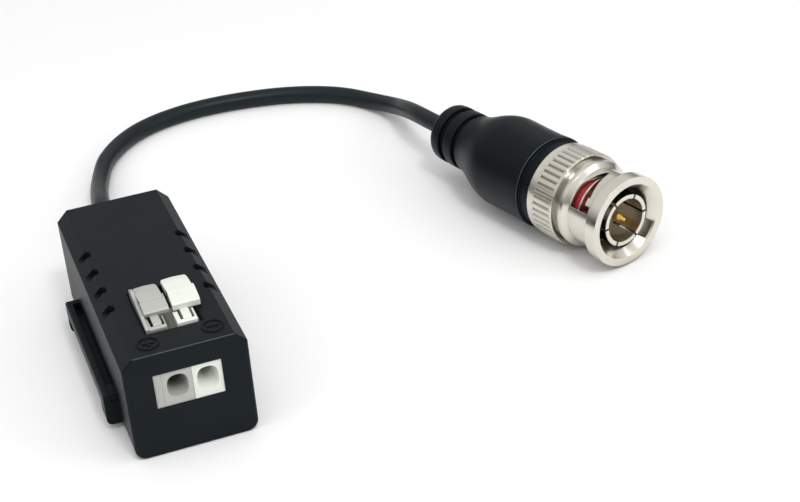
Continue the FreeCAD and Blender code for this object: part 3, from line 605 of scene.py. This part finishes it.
def knurl_ribs():
    """Ribs that stand between the collar's grooves and give its knurl crisp ends."""
    made = bmesh.new()
    pitch = 2 * math.pi / rib_count
    # Foot and top of a rib: radius, half width, front and back
    levels = [
        (rib_root, rib_half_width, rib_front, rib_back),
        (rib_top, rib_half_width - rib_slope, rib_front + rib_end_slope, rib_back - rib_end_slope),
    ]
    for index in range(rib_count):
        middle = (index + 0.5) * pitch
        loops = []
        for radius, half_width, front, back in levels:
            turn = half_width / rib_top
            corners = [(front, -turn), (front, turn), (back, turn), (back, -turn)]
            loops.append([plug_point(radius, place, middle + side) for place, side in corners])
        add_stack(made, loops)
    add_piece("knurl_ribs", made, "nickel", "collar")


# Edge beads with a painted highlight

def bead_outline(place, across):
    """Small round section at a place, as corners of (place, across)."""
    return [(place + along, across + out) for along, out in circle(bead_radius, bead_steps)]


def edge_beads_with_painted_highlight():
    """Round beads on the cover's front edge and the boot's front rim, glossy and painted lighter as a
    highlight.
    """
    made = bmesh.new()
    add_prism(made, bead_outline(*cover_edge), (-cover_edge_reach, cover_edge_reach))
    add_piece("cover_edge", made, "housing_black", "root", finish="painted_highlight_black")
    rim = turned(bead_outline(*boot_edge))
    add_piece("boot_edge", rim, "boot_black", "root", finish="painted_highlight_black")


# Levers

def is_back_corner(edge):
    """True for the upright edges at the back of a lever's back pad."""
    back = (box_front + pad_back) * MM
    upright = abs(edge.verts[0].co.z - edge.verts[1].co.z) > pad_edge * MM
    return upright and all(abs(vert.co.y - back) < pad_tolerance * MM for vert in edge.verts)


def is_sharp(edge):
    """True for an edge between two faces that turn sharply from each other."""
    return len(edge.link_faces) == 2 and edge.calc_face_angle() > math.radians(sharp_angle)


def add_pads(made, sides, lift, crease_top):
    """Two sloping pads that meet in the crease: a plain front one and a rounded back one."""
    left, right = sides
    front = [
        (pad_front, pad_bottom), (crease_place + pad_overlap, pad_bottom),
        (crease_place + pad_overlap, crease_top), (crease_place, crease_top),
        (pad_front + pad_edge, nose_top + lift), (pad_front, nose_top - pad_edge + lift),
    ]
    add_prism(made, front, sides)
    bottom = pad_bottom + pad_edge
    back = [
        (crease_place, bottom), (pad_back, bottom), (pad_back, pad_back_top + lift),
        (crease_place, crease_back_top + lift),
    ]
    faces = add_prism(made, back, (left, right - pad_side_step))
    # The corners come first, which also gives the faces the normals that is_sharp reads
    faces += round_edges(made, faces, pad_corner, pad_corner_segments, is_back_corner)
    round_edges(made, faces, pad_edge, pad_edge_segments, is_sharp)


def add_stem(made, middle):
    """Stem that reaches down into the clamp, with the pivot through it."""
    outline = [
        (stem_front, pivot_height), (stem_front, stem_top - pad_edge),
        (stem_front + pad_edge, stem_top), (stem_foot_back, stem_top),
        (stem_foot_back, foot_bottom + pad_corner), (stem_foot_back - pad_corner, foot_bottom),
        (pivot_place, pivot_height - pivot_radius),
    ]
    add_prism(made, outline, (middle - stem_width / 2, middle + stem_width / 2))
    pivot = [
        (pivot_place + along, pivot_height + up)
        for along, up in circle(pivot_radius, small_circle_steps)]
    add_prism(made, pivot, (middle - pivot_length / 2, middle + pivot_length / 2))


def add_dot(made, left, lift, crease_top):
    """Low round dot on the slope of the front pad."""
    slope = (crease_top - nose_top - lift) / (crease_place - pad_front)
    x = left + dot_place[0]
    y = box_front + dot_place[1]
    z = nose_top + lift + slope * (dot_place[1] - pad_front)
    add_stack(made, [
        [metres((x + across, y + along, z + rise + slope * along))
         for across, along in circle(dot_radius * share, small_circle_steps)]
        for share, rise in dot_profile])


def lever(name, node, slot, sides, stem_middle, lift, crease_rise):
    """Press lever: two pads with a dot, on a narrow stem with its pivot."""
    made = bmesh.new()
    crease_top = crease_front_top + lift + crease_rise
    add_pads(made, sides, lift, crease_top)
    add_stem(made, stem_middle)
    add_dot(made, sides[0], lift, crease_top)
    piece = add_piece(name, made, slot, node)
    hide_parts(node)


# Box

def rail_stop():
    """Rounded stop that closes the front end of the rail's channel."""
    made = bmesh.new()
    outline = [
        (stop_front, stop_bottom), (stop_back, stop_bottom), (stop_back, stop_top),
        (stop_front, stop_top),
    ]
    faces = add_prism(made, outline, stop_sides)
    round_edges(made, faces, stop_rounding, stop_segments)
    add_piece("rail_stop", made, "housing_black", "root")


def add_sign_ring(made, x, y):
    """Raised ring with sloping sides."""
    low = cover_top - sign_root
    high = cover_top + sign_height
    inner = sign_radius - sign_stroke
    profile = [
        (sign_radius, low), (sign_radius, cover_top), (sign_radius - sign_slope, high),
        (inner + sign_slope, high), (inner, cover_top), (inner, low),
    ]
    add_ring(made, [
        [metres((x + across, y + along, z)) for across, along in circle(radius, sign_steps)]
        for radius, z in profile])


def sign_outline(arms):
    """Outline of a sign of two or four arms about its middle, round the ends of the arms."""
    reach = sign_length / 2
    stroke = sign_stroke / 2
    outline = []
    for index in range(4):
        turn = Matrix.Rotation(index * math.pi / 2, 2)
        tip = reach if index % 2 == 0 or arms == 4 else stroke
        outline += [turn @ Vector((tip, -stroke)), turn @ Vector((tip, stroke))]
        if arms == 4:
            outline.append(turn @ Vector((stroke, stroke)))
    return outline


def drawn_in(value, inset):
    """A distance from the middle, made shorter by an inset but never less than nothing."""
    return value - math.copysign(min(inset, abs(value)), value)


def polarity_sign(name, place, arms):
    """Raised plus or minus in a ring, on the cover."""
    x, y = place[0], box_front + place[1]
    made = bmesh.new()
    add_sign_ring(made, x, y)
    outline = sign_outline(arms)
    # Levels of the sign: how far its outline is drawn in, and height
    levels = [
        (0.0, cover_top - sign_root), (0.0, cover_top), (sign_slope, cover_top + sign_height)]
    add_stack(made, [
        [metres((x + drawn_in(point.x, inset), y + drawn_in(point.y, inset), z))
         for point in outline]
        for inset, z in levels])
    add_piece(name, made, "housing_black", "root")


# Studio

def floor():
    """Wide pale floor with faint clouds, which stays out of the part."""
    made, tree, shader = new_material("Pale floor")
    place = add_node(tree, "ShaderNodeTexCoord").outputs["Object"]
    cloud = add_node(
        tree, "ShaderNodeTexNoise", {"Vector": place, "Scale": floor_cloud_scale, "Detail": 2.0})
    greys = [(shade,) * 3 for shade in floor_shades]
    tree.links.new(ramp(tree, cloud.outputs["Fac"], greys, (0.0, 1.0)), shader["Base Color"])
    shader["Roughness"].default_value = floor_roughness
    half = floor_half_width * MM
    corners = [(-half, -half, 0), (half, -half, 0), (half, half, 0), (-half, half, 0)]
    mesh = bpy.data.meshes.new("floor")
    mesh.from_pydata(corners, [], [(0, 1, 2, 3)])
    mesh.materials.append(made)
    piece = bpy.data.objects.new("floor", mesh)
    bpy.context.scene.collection.objects.link(piece)


def soft_light(name, place, target, size, power):
    """Square softbox at a place, turned to a target, in millimetres and watts."""
    light = bpy.data.lights.new(name, "AREA")
    light.shape = "SQUARE"
    light.size = size * MM
    light.energy = power
    lamp = bpy.data.objects.new(name, light)
    way = metres(target) - metres(place)
    turn = way.to_track_quat("-Z", "Y").to_matrix().to_4x4()
    lamp.matrix_world = Matrix.Translation(metres(place)) @ turn
    bpy.context.scene.collection.objects.link(lamp)


def studio():
    """Sky that is dark at the horizon and pale above, and the soft lights."""
    world = bpy.data.worlds.new("Studio")
    world.use_nodes = True
    tree = world.node_tree
    way = add_node(tree, "ShaderNodeTexCoord").outputs["Generated"]
    height = add_node(tree, "ShaderNodeSeparateXYZ", {"Vector": way}).outputs["Z"]
    sky = ramp(tree, height, [(shade,) * 3 for shade in sky_shades], sky_heights)
    tree.links.new(sky, tree.nodes["Background"].inputs["Color"])
    bpy.context.scene.world = world
    for name, settings in soft_lights.items():
        soft_light(name, *settings)
    bpy.context.scene.view_settings.view_transform = "Standard"


def camera():
    """Camera at its place, turned by its azimuth, elevation and roll."""
    azimuth, elevation, roll = (
        math.radians(angle) for angle in (camera_azimuth, camera_elevation, camera_roll))
    level_share = math.cos(elevation)
    back = Vector((
        math.sin(azimuth) * level_share, -math.cos(azimuth) * level_share, math.sin(elevation)))
    level = Vector((0, 0, 1)).cross(back).normalized()
    upright = back.cross(level)
    right = level * math.cos(roll) + upright * math.sin(roll)
    up = upright * math.cos(roll) - level * math.sin(roll)
    turn = Matrix((right, up, back)).transposed().to_4x4()
    data = bpy.data.cameras.new("camera")
    data.sensor_width = sensor_width
    data.lens = focal_length_pixels * sensor_width / picture_width_pixels
    data.clip_start = clip_near * MM
    data.clip_end = clip_far * MM
    made = bpy.data.objects.new("camera", data)
    made.matrix_world = Matrix.Translation(metres(camera_place)) @ turn
    bpy.context.scene.collection.objects.link(made)
    bpy.context.scene.camera = made


camera()
floor()
studio()
dress_nodes()
boot()
edge_beads_with_painted_highlight()
knurl_ribs()
lead()
lever(
    "grey_lever", "lever_grey", "grey_plastic", sides=grey_sides, stem_middle=grey_stem,
    lift=grey_lift, crease_rise=grey_crease)
lever(
    "white_lever", "lever_white", "white_plastic", sides=white_sides, stem_middle=white_stem,
    lift=white_lift, crease_rise=white_crease)
rail_stop()
polarity_sign("polarity_plus", plus_place, arms=4)
polarity_sign("polarity_minus", minus_place, arms=2)
